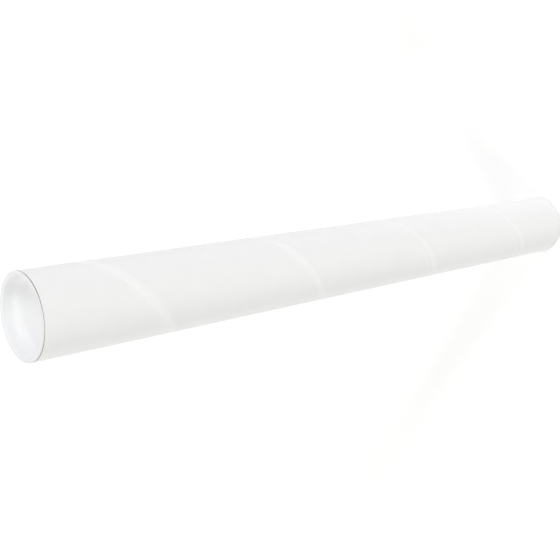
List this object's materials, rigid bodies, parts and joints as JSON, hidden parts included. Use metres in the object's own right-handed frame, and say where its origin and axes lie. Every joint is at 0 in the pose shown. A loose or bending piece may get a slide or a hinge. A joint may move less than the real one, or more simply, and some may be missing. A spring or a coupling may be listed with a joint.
{
  "type": "cardboard mailing tube",
  "caption": "Long round spiral-wound cardboard mailing tube, with a recessed push-in plastic cap at each end.",
  "frame": {"origin": "middle of the face that the tube stands on, which is the outer face of its base cap's flange", "axes": "+Z along the tube, from the base cap to the top cap, whose end the picture shows; +X is up in the picture, and the picture's camera is on the -Y side"},
  "size_m": [0.0804, 0.0804, 0.826],
  "materials": {
    "white_board": "matte",
    "white_plastic": "satin"
  },
  "bodies": {
    "tube": {"tube_body": "white_board"},
    "top_cap": {"end_cap_top": "white_plastic"},
    "base_cap": {"end_cap_base": "white_plastic"}
  },
  "joints": [
    {"name": "top_cap_pull", "type": "slide", "parent": "tube", "child": "top_cap", "axis": [0, 0, 1], "range_m": [0, 0.04]},
    {"name": "base_cap_pull", "type": "slide", "parent": "tube", "child": "base_cap", "axis": [0, 0, -1], "range_m": [0, 0.04]}
  ]
}
